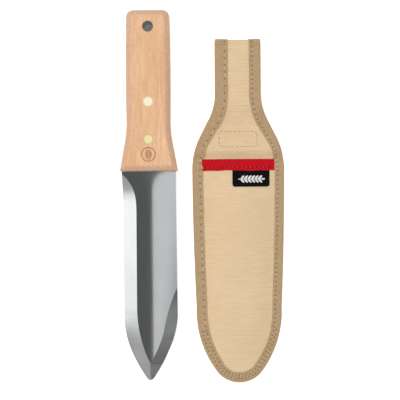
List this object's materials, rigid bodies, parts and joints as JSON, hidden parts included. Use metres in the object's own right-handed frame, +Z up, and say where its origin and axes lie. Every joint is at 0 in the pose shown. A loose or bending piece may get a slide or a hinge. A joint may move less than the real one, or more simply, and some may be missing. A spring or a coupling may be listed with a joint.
{
  "type": "garden digging knife with belt sheath",
  "caption": "Hori hori garden knife with a dished steel blade and pinned beech handle, beside its taped canvas belt sheath.",
  "frame": {"origin": "on the surface that the set lies on, under the middle of the pair's bounding box", "axes": "+Z up from that surface; +Y towards the handle's butt and the sheath's belt loop; +X from the knife to the sheath"},
  "size_m": [0.1381, 0.3134, 0.022],
  "materials": {
    "beech": "oiled, fine flecked grain",
    "brass": "peened and sanded flush",
    "tube_steel": "plain",
    "blade_steel": "polished dish, satin ground edges",
    "canvas": "stiff cotton canvas",
    "binding_tape": "woven tape",
    "red_tape": "woven tape",
    "label_cloth": "woven label",
    "tan_thread": "sewing thread",
    "red_thread": "sewing thread",
    "grey_thread": "sewing thread"
  },
  "bodies": {
    "knife": {"blade": "blade_steel", "front_scale": "beech", "back_scale": "beech", "upper_pin": "brass", "lower_pin": "brass", "lanyard_tube": "tube_steel"},
    "sheath": {"back_panel": "canvas", "front_panel": "canvas", "belt_strap": "canvas", "edge_binding": "binding_tape", "strap_binding": "binding_tape", "mouth_tape": "red_tape", "label": "label_cloth", "edge_thread": "tan_thread", "tip_thread": "tan_thread", "mouth_thread": "red_thread", "loop_thread": "grey_thread"}
  },
  "joints": [
    {"name": "sheath_draw", "type": "slide", "parent": "knife", "child": "sheath", "axis": [0, -1, 0], "range_m": [0, 0.19]}
  ]
}
